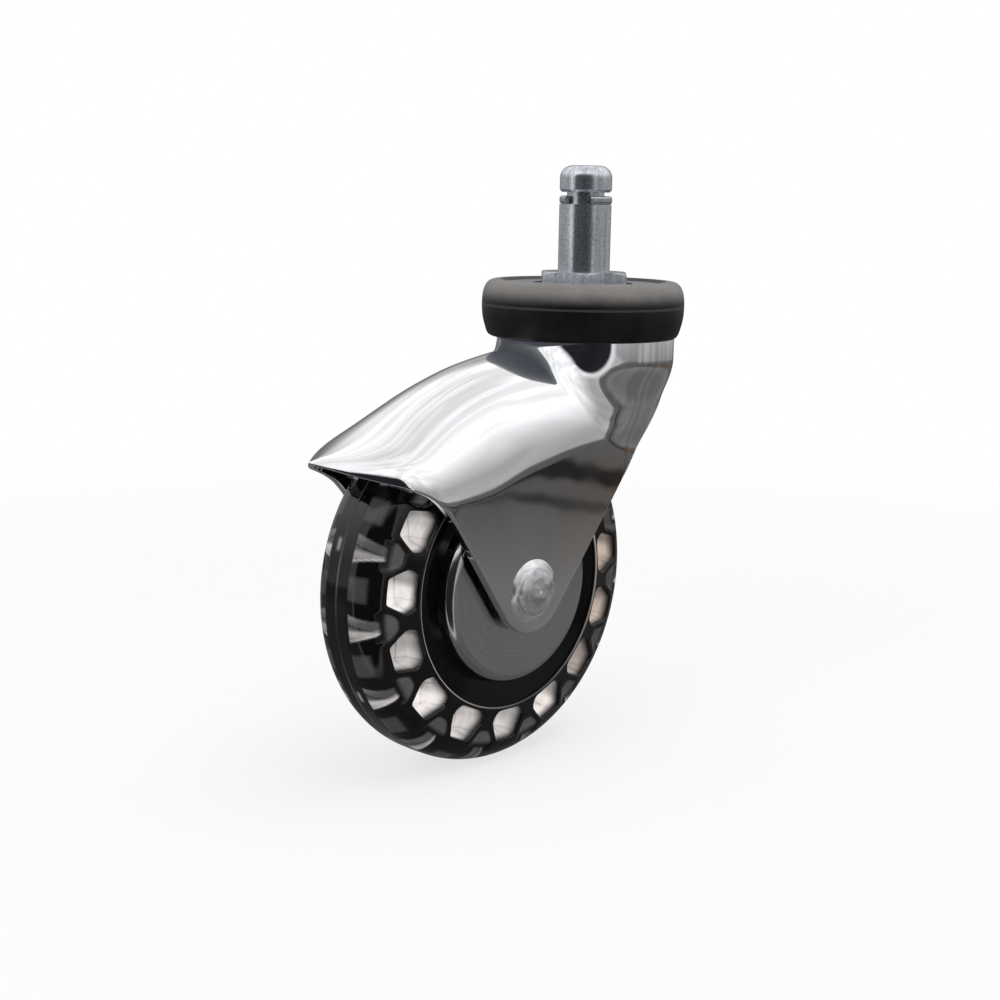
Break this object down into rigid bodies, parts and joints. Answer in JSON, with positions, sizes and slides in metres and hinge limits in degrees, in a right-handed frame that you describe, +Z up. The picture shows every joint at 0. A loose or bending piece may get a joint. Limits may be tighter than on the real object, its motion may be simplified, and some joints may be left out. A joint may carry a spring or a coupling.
{
  "type": "hooded swivel castor",
  "caption": "Hooded swivel castor: snap-in stem with grip ring, chrome hood with visor, clear honeycomb-pocket tyre on a covered ball-bearing wheel.",
  "frame": {"origin": "on the stem's axis, at the top face of the hexagon flange, where the furniture leg seats", "axes": "+Z up the stem; the wheel trails towards -X; its axle lies along Y; -Y is the side nearest the camera"},
  "size_m": [0.0947, 0.043, 0.1214],
  "materials": {
    "zinc_steel": "bright zinc plate over turned steel",
    "spring_steel": "zinc-plated spring steel",
    "bearing_steel": "ground bearing steel",
    "shield_steel": "thin pressed sheet steel",
    "cage_plastic": "moulded cage plastic",
    "collar_plastic": "satin black moulding",
    "hood_chrome": "mirror chrome plate",
    "rivet_steel": "bright plate with turned swirl marks",
    "hub_plastic": "deep black moulding",
    "cover_chrome": "dark satin chrome plate",
    "tyre_clear": "smoky clear soft moulding"
  },
  "bodies": {
    "stem_body": {"stem": "zinc_steel", "grip_ring": "spring_steel", "upper_race": "zinc_steel", "lower_race": "zinc_steel", "kingpin_washer": "zinc_steel"},
    "fork_body": {"hood": "hood_chrome", "collar": "collar_plastic", "axle_rivet": "rivet_steel", "left_bearing_inner_ring": "bearing_steel", "right_bearing_inner_ring": "bearing_steel", "left_ear_bush": "zinc_steel", "right_ear_bush": "zinc_steel", "spacer_sleeve": "bearing_steel"},
    "wheel_body": {"tyre": "tyre_clear", "hub": "hub_plastic", "left_cover": "cover_chrome", "right_cover": "cover_chrome", "left_bearing_outer_ring": "bearing_steel", "right_bearing_outer_ring": "bearing_steel", "left_outer_shield": "shield_steel", "left_inner_shield": "shield_steel", "right_outer_shield": "shield_steel", "right_inner_shield": "shield_steel"},
    "upper_ball_body": {"upper_balls": "bearing_steel"},
    "lower_ball_body": {"lower_balls": "bearing_steel"},
    "left_ball_body": {"left_bearing_balls": "bearing_steel", "left_bearing_cage": "cage_plastic"},
    "right_ball_body": {"right_bearing_balls": "bearing_steel", "right_bearing_cage": "cage_plastic"}
  },
  "joints": [
    {"name": "swivel", "type": "hinge", "parent": "stem_body", "child": "fork_body", "pos_m": [0, 0, 0], "axis": [0, 0, 1], "continuous": true},
    {"name": "wheel_spin", "type": "hinge", "parent": "fork_body", "child": "wheel_body", "pos_m": [-0.0301, 0, -0.0619], "axis": [0, 1, 0], "continuous": true},
    {"name": "upper_ball_orbit", "type": "hinge", "parent": "stem_body", "child": "upper_ball_body", "pos_m": [0, 0, -0.00715], "axis": [0, 0, 1], "continuous": true},
    {"name": "lower_ball_orbit", "type": "hinge", "parent": "stem_body", "child": "lower_ball_body", "pos_m": [0, 0, -0.01305], "axis": [0, 0, 1], "continuous": true},
    {"name": "left_ball_orbit", "type": "hinge", "parent": "fork_body", "child": "left_ball_body", "pos_m": [-0.0301, 0.0075, -0.0619], "axis": [0, 1, 0], "continuous": true},
    {"name": "right_ball_orbit", "type": "hinge", "parent": "fork_body", "child": "right_ball_body", "pos_m": [-0.0301, -0.0075, -0.0619], "axis": [0, 1, 0], "continuous": true}
  ],
  "couplings": [
    {"joint": "upper_ball_orbit", "follows": "swivel", "ratio": 0.5},
    {"joint": "lower_ball_orbit", "follows": "swivel", "ratio": 0.5},
    {"joint": "left_ball_orbit", "follows": "wheel_spin", "ratio": 0.632},
    {"joint": "right_ball_orbit", "follows": "wheel_spin", "ratio": 0.632}
  ]
}
